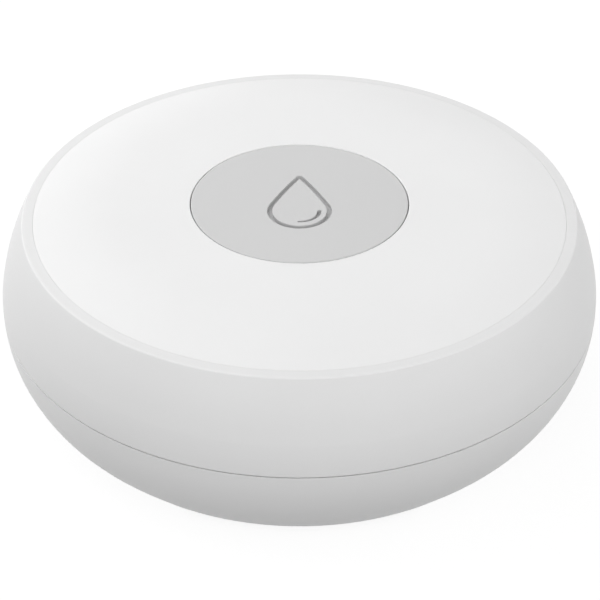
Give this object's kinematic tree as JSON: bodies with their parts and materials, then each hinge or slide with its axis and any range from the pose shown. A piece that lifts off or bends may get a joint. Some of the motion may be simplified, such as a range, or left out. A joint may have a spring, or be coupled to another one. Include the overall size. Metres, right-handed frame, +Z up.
{
  "type": "water leak sensor",
  "caption": "Round water leak sensor with a twist-off base on arc feet, probe pins below, a top plate and a sprung centre button engraved with a drop.",
  "frame": {"origin": "on the floor, under the middle of the puck", "axes": "+Z up along the axis of the puck; -Y to the front, where the round end of the drop on the button points and one of the water gaps lies; +X to the right"},
  "size_m": [0.07, 0.07, 0.0241],
  "materials": {
    "shell_white": "fine satin",
    "plate_white": "smooth satin",
    "button_grey": "fine matt",
    "seal_black": "moulded silicone",
    "silicone_clear": "soft silicone",
    "pin_gold": "gold plated",
    "nut_brass": "turned",
    "contact_metal": "nickel plated",
    "spring_steel": "drawn wire",
    "cell_jacket": "printed sleeve over a metal can",
    "tray_plastic": "moulded",
    "board_green": "solder mask",
    "screw_steel": "zinc plated",
    "switch_black": "moulded",
    "plunger_plastic": "moulded",
    "lamp_resin": "clear resin",
    "radio_board": "solder mask",
    "can_metal": "tinned",
    "capacitor_metal": "drawn can",
    "component_black": "moulded"
  },
  "bodies": {
    "base": {"base_shell": "shell_white", "probe_pins": "pin_gold", "probe_washers": "silicone_clear", "probe_nuts": "nut_brass"},
    "seal": {"base_o_ring": "seal_black"},
    "housing": {"upper_shell": "shell_white", "top_plate": "plate_white", "button_gasket": "silicone_clear", "probe_contacts": "contact_metal", "battery_front": "cell_jacket", "battery_back": "cell_jacket", "positive_terminal": "contact_metal", "negative_terminal": "contact_metal", "bridge_plate": "contact_metal", "negative_spring": "spring_steel", "bridge_spring": "spring_steel", "battery_tray": "tray_plastic", "main_board": "board_green", "tray_screws": "screw_steel", "switch_body": "switch_black", "switch_frame": "contact_metal", "status_lamp": "lamp_resin", "radio_board": "radio_board", "shield_can": "can_metal", "storage_capacitor": "capacitor_metal", "board_parts": "component_black"},
    "button": {"button_cap": "button_grey"},
    "plunger": {"switch_plunger": "plunger_plastic"}
  },
  "joints": [
    {"name": "cover_twist", "type": "hinge", "parent": "base", "child": "seal", "pos_m": [0, 0, 0], "axis": [0, 0, 1], "range_deg": [0, 110]},
    {"name": "cover_lift", "type": "slide", "parent": "seal", "child": "housing", "axis": [0, 0, 1], "range_m": [0, 0.00367]},
    {"name": "button_press", "type": "slide", "parent": "housing", "child": "button", "axis": [0, 0, -1], "range_m": [0, 0.0004], "stiffness_N_per_m": 2000, "deforming": ["button_gasket"]},
    {"name": "switch_press", "type": "slide", "parent": "housing", "child": "plunger", "axis": [0, 0, -1], "range_m": [0, 0.0004]}
  ],
  "couplings": [
    {"joint": "cover_lift", "follows": "cover_twist", "m_per_rad": 0.0019099},
    {"joint": "switch_press", "follows": "button_press", "ratio": 1}
  ]
}
